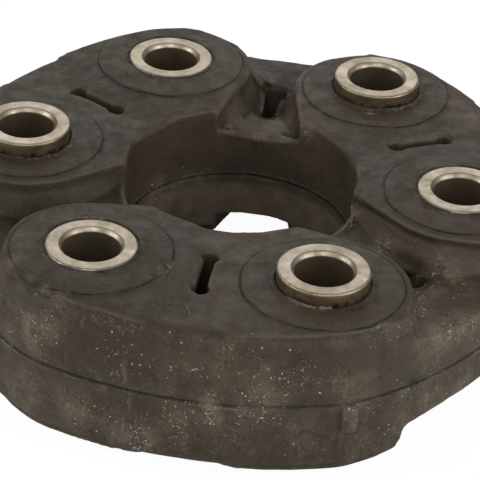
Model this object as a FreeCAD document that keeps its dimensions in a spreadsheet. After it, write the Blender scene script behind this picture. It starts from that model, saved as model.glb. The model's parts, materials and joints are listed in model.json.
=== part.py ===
import FreeCAD, Part
import math
import os

import Sketcher
from FreeCAD import Placement, Rotation, Vector

# Drive shaft flex joint: a moulded rubber disc with six steel bushes on one bolt circle,
# cord loops wound round the bushes in pairs, and a thin steel collar over each winding end.
# Frame: origin on the axis in the middle plane, +Z along the shaft, bush_1 on +X.
# All sizes are in millimetres.

# Driving dimensions
SIZES = {
    "bolt_circle": 96.0,
    "bush_outer": 19.3,
    "bush_bore": 12.0,
    "bush_length": 39.5,
    "rim_bevel": 0.5,
    "bore_bevel": 0.5,
    "stand_high": 4.5,
    "stand_flush": 2.6,
    "pad_sink": 0.15,
    "ring_rise": 1.2,
    "pad_fall": 0.75,
    "ring_fall": 0.3,
    "apron_rise_flush": 1.3,
    "apron_rise_proud": 0.5,
    "apron_spread": 9.5,
    "lip_rise": 0.3,
    "lip_width": 1.0,
    "collar_cover": 1.6,
    "collar_plate": 1.2,
    "collar_neck": 0.9,
    "collar_wall": 0.9,
    "collar_brim": 0.6,
    "loop_depth": 5.5,
    "loop_round": 1.2,
    "thrust_loop_height": 12.0,
    "loop_gap": 0.6,
    "wall_cover": 8.05,
    "outline_back": 17.5,
    "corner_cover": 3.15,
    "edge_round": 3.4,
    "pad_round": 5.8,
    "hole_cover": 1.42,
    "hole_step": 0.4,
    "hole_flare": 1.4,
    "hole_round_top": 1.2,
    "hole_round_bottom": 4.0,
    "boss_cover": 3.2,
    "pad_margin": 1.65,
    "crest_cover": 4.4,
    "rim_cover": 3.4,
    "valley_round": 120.0,
    "valley_turn": 46.0,
    "shoulder_drop": 1.9,
    "shoulder_in": 0.4,
    "foot_in": 4.3,
    "mouth_half": 9.6,
    "mouth_round": 1.5,
    "mouth_bite": 0.5,
    "slot_end": 1.9,
    "slot_waist": 1.2,
    "slot_inner": 36.8,
    "slot_outer": 48.25,
    "slot_web": 4.0,
    "lug_width": 3.6,
    "lug_top": 0.9,
    "lug_bottom": 7.2,
    "lug_proud": 0.7,
    "lug_turn": 300.0,
}

BUSHES = 6
LINKS = 6
STEP = 360.0 / BUSHES
HALF_STEP = STEP / 2
TOP = 1
BOTTOM = -1

size = dict(SIZES)


def derive(name, value):
    """Keep a worked-out length beside the driving dimensions."""
    size[name] = round(value, 6)


# Lengths worked out from the driving dimensions
derive("bolt_radius", size["bolt_circle"] / 2)
derive("link_reach", size["bolt_radius"] * math.cos(math.radians(HALF_STEP)))
derive("link_half", size["bolt_radius"] * math.sin(math.radians(HALF_STEP)))
derive("bush_radius", size["bush_outer"] / 2)
derive("bore_radius", size["bush_bore"] / 2)
derive("bush_half", size["bush_length"] / 2)
derive("bush_shift", (size["stand_high"] - size["stand_flush"]) / 2)
derive("rim_radius", size["bush_radius"] - size["rim_bevel"])
derive("rim_level", size["bush_half"] - size["rim_bevel"])
derive("mouth_radius", size["bore_radius"] + size["bore_bevel"])
derive("mouth_level", size["bush_half"] - size["bore_bevel"])
derive("body_half", size["bush_half"] - (size["stand_high"] + size["stand_flush"]) / 2)
derive("pad_level", size["body_half"] + size["stand_flush"] - size["pad_sink"])
derive("ring_level", size["body_half"] + size["ring_rise"])
derive("pad_edge_level", size["pad_level"] - size["pad_fall"])
derive("ring_edge_level", size["ring_level"] - size["ring_fall"])
derive("lip_level", size["ring_level"] + size["lip_rise"])
derive("lip_radius", size["bush_radius"] + size["lip_width"])
derive("loop_outer", size["bush_radius"] + size["loop_depth"])
derive("thrust_half", size["thrust_loop_height"] / 2)
derive("collar_top", size["body_half"] - size["collar_cover"])
derive("collar_under", size["collar_top"] - size["collar_plate"])
derive("drive_loop_foot", size["thrust_half"] + size["loop_gap"])
derive("drive_loop_height", size["collar_under"] - size["drive_loop_foot"])
derive("collar_radius", size["loop_outer"] + size["collar_brim"])
derive("neck_radius", size["bush_radius"] + size["collar_wall"])
derive("neck_level", size["collar_top"] + size["collar_neck"])
derive("outline_flat", size["link_reach"] + size["loop_outer"] + size["wall_cover"])
derive("outline_arc", size["outline_flat"] + size["outline_back"])
derive("corner_radius", size["loop_outer"] + size["corner_cover"])
derive("hole_radius", size["link_reach"] - size["loop_outer"] - size["hole_cover"])
derive("hole_waist", size["hole_radius"] - size["hole_step"])
derive("hole_foot", size["hole_waist"] + size["hole_flare"])
derive("boss_radius", size["loop_outer"] + size["boss_cover"])
derive("pad_radius", size["loop_outer"] + size["pad_margin"])
derive("apron_radius", size["pad_radius"] + size["apron_spread"])
derive("apron_flush_level", size["body_half"] + size["apron_rise_flush"])
derive("apron_proud_level", size["body_half"] + size["apron_rise_proud"])
derive("crest_level", size["thrust_half"] + size["crest_cover"])
derive("valley_rim_level", size["thrust_half"] + size["rim_cover"])
derive("outer_reach", size["bolt_radius"] + size["corner_radius"])
derive("root_level", size["thrust_half"])
derive("shoulder_level", size["body_half"] - size["shoulder_drop"])
derive("foot_level", size["valley_rim_level"] - 0.2)
derive("clear_level", size["bush_half"] + size["stand_high"])

doc = FreeCAD.newDocument("flex_joint")
sheet = doc.addObject("Spreadsheet::Sheet", "sizes")
for row, (alias, value) in enumerate(size.items(), start=1):
    sheet.set(f"A{row}", alias)
    sheet.set(f"B{row}", str(value))
    sheet.setAlias(f"B{row}", alias)
doc.recompute()

nodes = []


def bind(item, **properties):
    """Tie properties of an object to cells of the sheet."""
    for name, expression in properties.items():
        item.setExpression(name, expression)


def turn(degrees):
    """A rotation about the shaft axis."""
    return Placement(Vector(0, 0, 0), Rotation(Vector(0, 0, 1), degrees))


def facing(side):
    """Leave the upper side as it is, or roll it about +X to make the lower side."""
    return Placement(Vector(0, 0, 0), Rotation(Vector(1, 0, 0), 0 if side == TOP else 180))


def group(kind, label, members):
    """A boolean of several shapes."""
    item = doc.addObject(kind, label)
    item.Shapes = members
    return item


def cut(label, base, tool):
    """One shape less another."""
    item = doc.addObject("Part::Cut", label)
    item.Base = base
    item.Tool = tool
    return item


def common(label, base, tool):
    """What two shapes share."""
    item = doc.addObject("Part::Common", label)
    item.Base = base
    item.Tool = tool
    return item


def plane(body, role):
    """The origin plane of a body, found by its role."""
    return next(item for item in body.Origin.OriginFeatures if item.Role == role)


def signed(name):
    """The value and the expression of a named length, which may carry a minus sign."""
    if name.startswith("-"):
        return -size[name[1:]], f"-sizes.{name[1:]}"
    return size[name], f"sizes.{name}"


def polygon(sketch, corners):
    """Draw a closed polygon whose corners are pairs of named lengths."""
    points = [(signed(across), signed(up)) for across, up in corners]
    count = len(points)
    for index in range(count):
        start = Vector(points[index][0][0], points[index][1][0], 0)
        end_at = points[(index + 1) % count]
        end = Vector(end_at[0][0], end_at[1][0], 0)
        sketch.addGeometry(Part.LineSegment(start, end), False)
    for index in range(count):
        sketch.addConstraint(Sketcher.Constraint("Coincident", index, 2, (index + 1) % count, 1))
    for index, (across, up) in enumerate(points):
        at_x = sketch.addConstraint(Sketcher.Constraint("DistanceX", -1, 1, index, 1, across[0]))
        sketch.setExpression(f"Constraints[{at_x}]", across[1])
        at_y = sketch.addConstraint(Sketcher.Constraint("DistanceY", -1, 1, index, 1, up[0]))
        sketch.setExpression(f"Constraints[{at_y}]", up[1])


def turned_body(label, corners, placement):
    """A body of revolution about its own Z axis, from a section in its XZ plane."""
    body = doc.addObject("PartDesign::Body", label)
    body.Label = label
    section = body.newObject("Sketcher::SketchObject", f"{label}_section")
    section.AttachmentSupport = [(plane(body, "XZ_Plane"), "")]
    section.MapMode = "FlatFace"
    polygon(section, corners)
    solid = body.newObject("PartDesign::Revolution", f"{label}_turned")
    solid.Profile = section
    solid.ReferenceAxis = (section, ["V_Axis"])
    solid.Angle = 360
    body.Tip = solid
    body.Placement = placement
    return body


def on_bolt_circle(index):
    """The place of a bush's axis, turned with it."""
    at_bush = Placement(Vector(size["bolt_radius"], 0, 0), Rotation())
    return turn(index * STEP).multiply(at_bush)


# Steel bushes: turned tubes, moved up and down by turns, so that three stand proud on each face
def make_bush(index):
    """One bush; even ones end flush with the pads above and stand proud below."""
    rise = size["bush_shift"] * (-1 if index % 2 == 0 else 1)
    corners = [
        ("bore_radius", "-mouth_level"),
        ("mouth_radius", "-bush_half"),
        ("rim_radius", "-bush_half"),
        ("bush_radius", "-rim_level"),
        ("bush_radius", "rim_level"),
        ("rim_radius", "bush_half"),
        ("mouth_radius", "bush_half"),
        ("bore_radius", "mouth_level"),
    ]
    placement = on_bolt_circle(index)
    placement.Base.z = rise
    return turned_body(f"bush_{index + 1}", corners, placement)


# Collars: thin flanged rings that hold the ends of the windings on each bush
def make_collar(index, side):
    """One collar, its plate over the winding and its neck drawn up along the bush."""
    word = "upper" if side == TOP else "lower"
    corners = [
        ("bush_radius", "collar_under"),
        ("collar_radius", "collar_under"),
        ("collar_radius", "collar_top"),
        ("neck_radius", "collar_top"),
        ("neck_radius", "neck_level"),
        ("bush_radius", "neck_level"),
    ]
    placement = on_bolt_circle(index).multiply(facing(side))
    return turned_body(f"{word}_collar_{index + 1}", corners, placement)


def racetrack(sketch, radius_name):
    """Two half rounds about a pair of bush axes, joined by two straight strands."""
    reach = size["link_half"]
    radius = size[radius_name]
    up = Vector(0, 0, 1)
    first = len(sketch.Geometry)
    far = Part.Circle(Vector(0, reach, 0), up, radius)
    near = Part.Circle(Vector(0, -reach, 0), up, radius)
    sketch.addGeometry(Part.ArcOfCircle(far, 0, math.pi), False)
    sketch.addGeometry(Part.LineSegment(Vector(-radius, reach, 0), Vector(-radius, -reach, 0)), False)
    sketch.addGeometry(Part.ArcOfCircle(near, math.pi, 2 * math.pi), False)
    sketch.addGeometry(Part.LineSegment(Vector(radius, -reach, 0), Vector(radius, reach, 0)), False)
    for step in range(4):
        here = first + step
        after = first + (step + 1) % 4
        sketch.addConstraint(Sketcher.Constraint("Tangent", here, 2, after, 1))
    for arc, sign in ((first, ""), (first + 2, "-")):
        value = -reach if sign else reach
        sketch.addConstraint(Sketcher.Constraint("PointOnObject", arc, 3, -2))
        place = sketch.addConstraint(Sketcher.Constraint("DistanceY", -1, 1, arc, 3, value))
        sketch.setExpression(f"Constraints[{place}]", f"{sign}sizes.link_half")
    width = sketch.addConstraint(Sketcher.Constraint("Radius", first, radius))
    sketch.setExpression(f"Constraints[{width}]", f"sizes.{radius_name}")


# Cord loops: each is wound round two neighbouring bushes and carries the pull between them
def make_loop(label, link, height_name, foot):
    """One cord loop between two bushes; foot is the height of its lower face."""
    body = doc.addObject("PartDesign::Body", label)
    body.Label = label
    outline = body.newObject("Sketcher::SketchObject", f"{label}_outline")
    outline.AttachmentSupport = [(plane(body, "XY_Plane"), "")]
    outline.MapMode = "FlatFace"
    racetrack(outline, "loop_outer")
    racetrack(outline, "bush_radius")
    winding = body.newObject("PartDesign::Pad", f"{label}_winding")
    winding.Profile = outline
    winding.Length = size[height_name]
    bind(winding, Length=f"sizes.{height_name}")
    body.Tip = winding
    doc.recompute()
    outer_edges = []
    for number, edge in enumerate(winding.Shape.Edges, start=1):
        flat = edge.BoundBox.ZLength < 1e-6
        widest = edge.Length > 2 * size["link_half"] + 1e-6 or abs(edge.CenterOfMass.x) > size["bush_radius"]
        outside = max(abs(vertex.X) for vertex in edge.Vertexes) > size["bush_radius"] + 1e-6
        if flat and widest and outside:
            outer_edges.append(f"Edge{number}")
    rounding = body.newObject("PartDesign::Fillet", f"{label}_round")
    rounding.Base = (winding, outer_edges)
    bind(rounding, Radius="sizes.loop_round")
    body.Tip = rounding
    at_link = Placement(Vector(size["link_reach"], 0, foot), Rotation())
    body.Placement = turn(HALF_STEP + link * STEP).multiply(at_link)
    return body


inner = []
for index in range(BUSHES):
    nodes.append(make_bush(index))
    for side in (TOP, BOTTOM):
        collar = make_collar(index, side)
        inner.append(collar)
        nodes.append(collar)

for link in range(LINKS):
    pair = f"{link + 1}_{(link + 1) % LINKS + 1}"
    if link % 2 == 0:
        low = -size["drive_loop_foot"] - size["drive_loop_height"]
        made = [
            make_loop(f"upper_drive_loop_{pair}", link, "drive_loop_height", size["drive_loop_foot"]),
            make_loop(f"lower_drive_loop_{pair}", link, "drive_loop_height", low),
        ]
    else:
        made = [make_loop(f"thrust_loop_{pair}", link, "thrust_loop_height", -size["thrust_half"])]
    inner.extend(made)
    nodes.extend(made)
doc.recompute()


# Rubber: the outline is what six large rounds share, its corners rounded about the bushes
def outline_blank(label, half_name, round_name):
    """The disc's outline from one face to the other, with rounded outer rims."""
    lobes = []
    half = size[half_name]
    for link in range(LINKS):
        lobe = doc.addObject("Part::Cylinder", f"{label}_lobe_{link + 1}")
        bind(lobe, Radius="sizes.outline_arc", Height=f"2 * sizes.{half_name}")
        back = Placement(Vector(-size["outline_back"], 0, -half), Rotation())
        lobe.Placement = turn(HALF_STEP + link * STEP).multiply(back)
        lobes.append(lobe)
    shared = group("Part::MultiCommon", f"{label}_shared", lobes)
    doc.recompute()
    corners = []
    for number, edge in enumerate(shared.Shape.Edges, start=1):
        if edge.BoundBox.ZLength > half:
            corners.append((number, size["corner_radius"], size["corner_radius"]))
    plan = doc.addObject("Part::Fillet", f"{label}_plan")
    plan.Base = shared
    plan.Edges = corners
    doc.recompute()
    rims = []
    for number, edge in enumerate(plan.Shape.Edges, start=1):
        if edge.BoundBox.ZLength < half:
            rims.append((number, size[round_name], size[round_name]))
    soft = doc.addObject("Part::Fillet", label)
    soft.Base = plan
    soft.Edges = rims
    doc.recompute()
    return soft


def make_pad(index, side, name, radius_name, level_name):
    """A round step of the rubber about one bush, from inside the body up to its own level."""
    pad = doc.addObject("Part::Cylinder", f"{name}_{index + 1}_{'upper' if side == TOP else 'lower'}")
    bind(pad, Radius=f"sizes.{radius_name}", Height=f"sizes.{level_name} - sizes.root_level")
    lift = Placement(Vector(0, 0, size["root_level"]), Rotation())
    pad.Placement = on_bolt_circle(index).multiply(facing(side)).multiply(lift)
    return pad


def make_dome(index, side, edge_name, level_name):
    """The top of a pad, which rises a little from its edge towards the bush."""
    word = "upper" if side == TOP else "lower"
    dome = doc.addObject("Part::Cone", f"dome_{index + 1}_{word}")
    bind(
        dome,
        Radius1="sizes.pad_radius",
        Radius2="sizes.lip_radius",
        Height=f"sizes.{level_name} - sizes.{edge_name}",
    )
    lift = Placement(Vector(0, 0, size[edge_name]), Rotation())
    dome.Placement = on_bolt_circle(index).multiply(facing(side)).multiply(lift)
    return dome


def make_apron(index, side, level_name):
    """The gentle rise of a face towards one bush, a low cone under the pad."""
    word = "upper" if side == TOP else "lower"
    apron = doc.addObject("Part::Cone", f"apron_{index + 1}_{word}")
    bind(
        apron,
        Radius1="sizes.apron_radius",
        Radius2="sizes.pad_radius",
        Height=f"sizes.{level_name} - sizes.body_half",
    )
    lift = Placement(Vector(0, 0, size["body_half"]), Rotation())
    apron.Placement = on_bolt_circle(index).multiply(facing(side)).multiply(lift)
    return apron


def make_pads(side, tall):
    """Flush pads and low rings by turns on one face, each on its apron, and a lip round each proud bush."""
    word = "upper" if side == TOP else "lower"
    pads = []
    lips = []
    for index in range(BUSHES):
        flush = (index % 2 == 0) == (side == TOP)
        edge = "pad_edge_level" if flush else "ring_edge_level"
        pads.append(make_pad(index, side, "pad", "pad_radius", edge))
        pads.append(make_dome(index, side, edge, "pad_level" if flush else "ring_level"))
        pads.append(make_apron(index, side, "apron_flush_level" if flush else "apron_proud_level"))
        if not flush:
            lips.append(make_pad(index, side, "lip", "lip_radius", "lip_level"))
    return [common(f"pads_trimmed_{word}", group("Part::MultiFuse", f"pads_{word}", pads), tall)] + lips


# Valleys: over and under each thin link the rubber drops to a trough between two bosses
def valley_corner(shift, sign):
    """One side of the trough's plan; shift moves the boss's round in over the link, but for its outer end."""
    radius = size["boss_radius"]
    boss = Vector(size["link_reach"], size["link_half"] - shift, 0)
    mouth_angle = math.asin(size["mouth_half"] / size["hole_radius"])
    mouth = Vector(size["hole_radius"] * math.cos(mouth_angle), size["mouth_half"], 0)
    to_mouth = mouth - boss
    heading = math.atan2(to_mouth.y, to_mouth.x) + math.acos(radius / to_mouth.Length)
    touch = boss + Vector(radius * math.cos(heading), radius * math.sin(heading), 0)
    outward = math.radians(HALF_STEP - size["valley_turn"])
    end = boss + Vector(radius * math.cos(outward), radius * math.sin(outward) + shift, 0)
    middle = boss - Vector(0, radius, 0)
    along = (mouth - touch).normalize()
    across = Vector(-along.y, along.x, 0)
    across = across * math.copysign(size["mouth_round"], across.y)
    side_line = touch + across
    reach = size["hole_radius"] + size["mouth_round"] - size["mouth_bite"]
    lead = side_line * along
    run = -lead - math.sqrt(lead ** 2 - side_line * side_line + reach ** 2)
    centre = side_line + along * run
    wall_end = centre - across
    hole_end = centre * ((reach - size["mouth_round"]) / reach)
    bend = ((wall_end - centre) + (hole_end - centre)).normalize() * size["mouth_round"]
    inside = hole_end * 0.7
    outside = end * (1.3 * size["outer_reach"] / end.Length)
    points = [inside, hole_end, centre + bend, wall_end, touch, middle, end, outside]
    return [Vector(point.x, sign * point.y, 0) for point in points]


def valley_plan(label, shift):
    """A closed sketch of the trough's plan, narrow between the bosses and wide at both ends."""
    left = valley_corner(shift, 1)
    right = valley_corner(shift, -1)
    sketch = doc.addObject("Sketcher::SketchObject", label)
    for side in (left, right):
        inside, hole_end, bend, wall_end, touch, middle, end, outside = side
        sketch.addGeometry(Part.LineSegment(inside, hole_end), False)
        sketch.addGeometry(Part.Arc(hole_end, bend, wall_end), False)
        sketch.addGeometry(Part.LineSegment(wall_end, touch), False)
        sketch.addGeometry(Part.Arc(touch, middle, end), False)
        sketch.addGeometry(Part.LineSegment(end, outside), False)
    sketch.addGeometry(Part.LineSegment(left[-1], right[-1]), False)
    sketch.addGeometry(Part.LineSegment(right[0], left[0]), False)
    return sketch


def make_valley(link, side):
    """The space of one trough: steep walls, sloping shoulders, and a floor that falls to the rim."""
    word = f"valley_{link + 1}_{'upper' if side == TOP else 'lower'}"
    place = turn(HALF_STEP + link * STEP).multiply(facing(side))
    sections = (
        ("foot", size["foot_level"], size["foot_in"]),
        ("shoulder", size["shoulder_level"], size["shoulder_in"]),
        ("head", size["clear_level"], 0.0),
    )
    plans = []
    for name, level, shift in sections:
        plan = valley_plan(f"{word}_{name}", shift)
        plan.Placement = place.multiply(Placement(Vector(0, 0, level), Rotation()))
        plans.append(plan)
    walls = doc.addObject("Part::Loft", f"{word}_walls")
    walls.Sections = plans
    walls.Solid = True
    walls.Ruled = True
    floor = doc.addObject("Part::Cylinder", f"{word}_floor")
    bind(floor, Radius="sizes.valley_round", Height="2 * sizes.outer_reach")
    fall = size["crest_level"] - size["valley_rim_level"]
    run = size["outline_flat"] - size["hole_radius"]
    slope = math.degrees(math.atan2(fall, run))
    start = Vector(size["hole_radius"], 0, size["crest_level"] + size["valley_round"])
    lie = Placement(start, Rotation(Vector(0, 1, 0), 90 + slope))
    back = Placement(Vector(0, 0, -size["outer_reach"] / 2), Rotation())
    floor.Placement = place.multiply(lie).multiply(back)
    return common(word, walls, floor)


# Slots: each link has a narrow slot with round ends, moulded from both faces up to a thin web
def make_slot(link):
    """The space of one slot, from above the disc to below it."""
    sketch = doc.addObject("Sketcher::SketchObject", f"slot_{link + 1}_plan")
    up = Vector(0, 0, 1)
    end = size["slot_end"]
    waist = size["slot_waist"]
    open_angle = math.asin(waist / end)
    reach = end * math.cos(open_angle)
    outer = Part.Circle(Vector(size["slot_outer"], 0, 0), up, end)
    near = Part.Circle(Vector(size["slot_inner"], 0, 0), up, end)
    outer_x = size["slot_outer"] - reach
    inner_x = size["slot_inner"] + reach
    sketch.addGeometry(Part.LineSegment(Vector(inner_x, -waist, 0), Vector(outer_x, -waist, 0)), False)
    sketch.addGeometry(Part.ArcOfCircle(outer, open_angle - math.pi, math.pi - open_angle), False)
    sketch.addGeometry(Part.LineSegment(Vector(outer_x, waist, 0), Vector(inner_x, waist, 0)), False)
    sketch.addGeometry(Part.ArcOfCircle(near, open_angle, 2 * math.pi - open_angle), False)
    sketch.Placement = turn(HALF_STEP + link * STEP)
    slot = doc.addObject("Part::Extrusion", f"slot_{link + 1}")
    slot.Base = sketch
    slot.DirMode = "Custom"
    slot.Dir = up
    slot.Solid = True
    bind(slot, LengthFwd="sizes.clear_level", LengthRev="sizes.clear_level")
    return slot


def make_slots():
    """All six slots, less the web that closes them in the middle plane."""
    slots = group("Part::MultiFuse", "slots_through", [make_slot(link) for link in range(LINKS)])
    web = doc.addObject("Part::Cylinder", "slot_web")
    bind(web, Radius="sizes.outer_reach", Height="sizes.slot_web")
    web.Placement.Base.z = -size["slot_web"] / 2
    return cut("slots", slots, web)


# Middle hole: straight above the middle plane and flared below it
def make_hole():
    """The space of the middle hole."""
    upper = doc.addObject("Part::Cylinder", "hole_upper")
    bind(upper, Radius="sizes.hole_radius", Height="sizes.clear_level")
    lower = doc.addObject("Part::Cone", "hole_lower")
    bind(lower, Radius1="sizes.hole_foot", Radius2="sizes.hole_waist", Height="sizes.body_half")
    lower.Placement.Base.z = -size["body_half"]
    foot = doc.addObject("Part::Cylinder", "hole_foot_clear")
    bind(foot, Radius="sizes.hole_foot", Height="sizes.clear_level - sizes.body_half")
    foot.Placement.Base.z = -size["clear_level"]
    return group("Part::MultiFuse", "hole", [upper, lower, foot])


def round_hole_edges(holed):
    """Soften both ends of the middle hole."""
    edges = []
    for number, edge in enumerate(holed.Shape.Edges, start=1):
        box = edge.BoundBox
        if box.XLength > 2 * size["hole_foot"] + 1 or box.ZLength > 1e-6:
            continue
        level = box.ZMin
        if abs(level - size["body_half"]) < 1e-3:
            edges.append((number, size["hole_round_top"], size["hole_round_top"]))
        if abs(level + size["body_half"]) < 1e-3:
            edges.append((number, size["hole_round_bottom"], size["hole_round_bottom"]))
    soft = doc.addObject("Part::Fillet", "body_holed_soft")
    soft.Base = holed
    soft.Edges = edges
    return soft


def make_lug():
    """A small upright rib of rubber on the wall, just under the middle plane."""
    lug = doc.addObject("Part::Box", "wall_lug")
    bind(
        lug,
        Length="sizes.corner_cover + sizes.lug_proud",
        Width="sizes.lug_width",
        Height="sizes.lug_bottom - sizes.lug_top",
    )
    start = size["outer_reach"] - size["corner_cover"]
    at_wall = Placement(Vector(start, -size["lug_width"] / 2, -size["lug_bottom"]), Rotation())
    lug.Placement = turn(size["lug_turn"]).multiply(at_wall)
    return lug


def make_rubber():
    """The moulded disc, with the bushes, collars and loops taken out of it."""
    blank = outline_blank("body_blank", "body_half", "edge_round")
    tall = outline_blank("tall_blank", "pad_level", "pad_round")
    raised_parts = make_pads(TOP, tall) + make_pads(BOTTOM, tall)
    hole = make_hole()
    doc.recompute()
    holed = cut("body_holed", blank, hole)
    doc.recompute()
    soft = round_hole_edges(holed)
    doc.recompute()
    raised = cut("raised_holed", group("Part::MultiFuse", "raised", raised_parts), hole)
    formed = group("Part::MultiFuse", "body_formed", [soft, raised, make_lug()])
    spaces = [make_slots()]
    for link in range(1, LINKS, 2):
        spaces.append(make_valley(link, TOP))
        spaces.append(make_valley(link, BOTTOM))
    for index in range(BUSHES):
        seat = doc.addObject("Part::Cylinder", f"bush_seat_{index + 1}")
        bind(seat, Radius="sizes.bush_radius", Height="2 * sizes.clear_level")
        seat.Placement = on_bolt_circle(index)
        seat.Placement.Base.z = -size["clear_level"]
        spaces.append(seat)
    carved = cut("body_carved", formed, group("Part::MultiFuse", "spaces", spaces))
    doc.recompute()
    rubber = doc.addObject("Part::Cut", "rubber_body")
    rubber.Base = carved
    rubber.Tool = group("Part::MultiFuse", "inner_pieces", inner)
    rubber.Label = "rubber_body"
    return rubber


nodes.append(make_rubber())
doc.recompute()

for item in doc.Objects:
    if "Invalid" in item.State or "Error" in item.State:
        raise RuntimeError(f"{item.Label} failed: {item.State}")
for node in nodes:
    if node.Shape.isNull() or not node.Shape.isValid():
        raise RuntimeError(f"{node.Label} has no valid shape")

os.makedirs("parts", exist_ok=True)
for node in nodes:
    node.Shape.exportStep(f"parts/{node.Label}.step")
    print(node.Label, len(node.Shape.Solids), round(node.Shape.Volume, 1))
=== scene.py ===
import json
import logging
import math
import random
from dataclasses import dataclass
from enum import Enum
from functools import reduce

import bmesh
import bpy
import numpy as np
from bmesh.types import BMesh
from bpy.types import Material, Mesh, Object
from mathutils import Matrix, Vector, noise
from mathutils.bvhtree import BVHTree


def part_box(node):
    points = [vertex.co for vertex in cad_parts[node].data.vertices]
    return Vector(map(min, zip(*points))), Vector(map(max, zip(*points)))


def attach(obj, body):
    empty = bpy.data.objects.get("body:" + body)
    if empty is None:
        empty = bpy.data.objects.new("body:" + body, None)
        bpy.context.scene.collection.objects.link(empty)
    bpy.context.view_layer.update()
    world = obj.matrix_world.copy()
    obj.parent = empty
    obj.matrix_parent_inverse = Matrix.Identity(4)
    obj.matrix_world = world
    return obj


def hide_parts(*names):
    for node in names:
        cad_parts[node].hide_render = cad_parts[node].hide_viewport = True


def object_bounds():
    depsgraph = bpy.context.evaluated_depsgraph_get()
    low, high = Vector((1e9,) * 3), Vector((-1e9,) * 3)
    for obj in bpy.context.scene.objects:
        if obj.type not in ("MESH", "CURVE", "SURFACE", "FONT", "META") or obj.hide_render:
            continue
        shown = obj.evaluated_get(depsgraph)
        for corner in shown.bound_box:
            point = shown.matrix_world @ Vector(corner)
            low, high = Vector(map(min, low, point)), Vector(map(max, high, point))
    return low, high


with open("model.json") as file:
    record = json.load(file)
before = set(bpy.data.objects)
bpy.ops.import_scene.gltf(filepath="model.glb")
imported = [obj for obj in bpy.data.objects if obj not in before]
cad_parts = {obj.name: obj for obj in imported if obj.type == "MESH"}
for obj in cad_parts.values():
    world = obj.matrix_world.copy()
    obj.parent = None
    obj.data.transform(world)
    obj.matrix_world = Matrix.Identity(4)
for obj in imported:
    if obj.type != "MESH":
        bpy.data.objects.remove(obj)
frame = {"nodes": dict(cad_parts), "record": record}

# Drive shaft flex joint: the moulded rubber disc, its steel bushes and what the years left on them.
# Lengths are in metres in the frame's own axes: +Z along the shaft, bush_1 on +X.

MM = 0.001
BODY = "root"
BUSHES = 6
STEP = 2 * math.pi / BUSHES
WEIGHT_STEPS = 20
AXIS = (0, 0, 1)
LOG = logging.getLogger("flex_joint")

Array = np.ndarray
Band = tuple[float, float]
Tone = tuple[float, float, float, float]
Corners = tuple[Band, ...]
# Lines of the picture with a width and a height in millimetres.
Strokes = tuple[tuple[Corners, float, float], ...]
# Waves in a metre, octaves, roughness, the range of values that shows and what its two ends give.
Pattern = tuple[float, ...]
# Waves in a metre, octaves, roughness, strength and the depth in millimetres.
Relief = tuple[float, float, float, float, float]

CAD_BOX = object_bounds()


class Side(Enum):
    """The two faces of the disc."""

    UPPER = 1
    LOWER = -1


def mm(*lengths: float) -> tuple[float, ...]:
    """Lengths given in millimetres, in metres."""
    return tuple(length * MM for length in lengths)


def ease(low: float, high: float, values: Array) -> Array:
    """A soft step of the values, from 0 at the lower limit to 1 at the higher one."""
    t = np.clip((values - low) / (high - low), 0, 1)
    return t * t * (3 - 2 * t)


def bell(gap: Array, width: float) -> Array:
    """A soft hump: 1 where the gap is 0, and fading over a width."""
    return np.exp(-((gap / width) ** 2))


def read_skin(mesh: Mesh) -> tuple[Array, Array]:
    """Read a mesh's points and its vertex normals.

    Args:
        mesh: The mesh.

    Returns:
        The points and the normals, one row of x, y, z for each vertex.
    """
    rows = []
    for source, key in ((mesh.vertices, "co"), (mesh.vertex_normals, "vector")):
        flat = np.empty(len(source) * 3, np.float32)
        source.foreach_get(key, flat)
        rows.append(flat.reshape(-1, 3).astype(float))
    return rows[0], rows[1]


def write_points(mesh: Mesh, points: Array) -> None:
    """Put moved points back into a mesh, one row for each vertex."""
    mesh.vertices.foreach_set("co", points.astype(np.float32).ravel())
    mesh.update()


def write_attribute(mesh: Mesh, name: str, values: Array) -> None:
    """Note a value on each point of a mesh, under an attribute's name."""
    mesh.attributes.new(name, "FLOAT", "POINT").data.foreach_set("value", values.astype(np.float32))


def waves(points: Array, grain: float, seed: float) -> Array:
    """Smooth noise from about -1 to 1 at each point, with waves of a size and moved by a seed."""
    shifted = points / grain + seed
    return np.array([noise.noise(Vector(point)) for point in shifted])


def merge(bm: BMesh, part: BMesh) -> None:
    """Move one bench mesh into another.

    Args:
        bm: Where it goes.
        part: What is moved, and freed.
    """
    holder = bpy.data.meshes.new("part")
    part.to_mesh(holder)
    part.free()
    bm.from_mesh(holder)
    bpy.data.meshes.remove(holder)


def closed(bm: BMesh, name: str) -> Mesh:
    """Turn a bench mesh's faces outward and take it off the bench.

    Args:
        bm: The bench mesh, which is freed.
        name: The new mesh's name.

    Returns:
        The mesh.
    """
    bmesh.ops.recalc_face_normals(bm, faces=bm.faces)
    mesh = bpy.data.meshes.new(name)
    bm.to_mesh(mesh)
    bm.free()
    return mesh


def add_piece(name: str, mesh: Mesh, finish: Material) -> Object:
    """Put a mesh in the scene as a piece of the object.

    Args:
        name: The piece's name.
        mesh: Its mesh, already in place.
        finish: Its material.

    Returns:
        The new object, riding on the disc's body.
    """
    mesh.name = name
    piece = bpy.data.objects.new(name, mesh)
    bpy.context.scene.collection.objects.link(piece)
    mesh.materials.clear()
    mesh.materials.append(finish)
    mesh.shade_smooth()
    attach(piece, BODY)
    LOG.info("%s: %d faces", name, len(mesh.polygons))
    return piece


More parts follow.
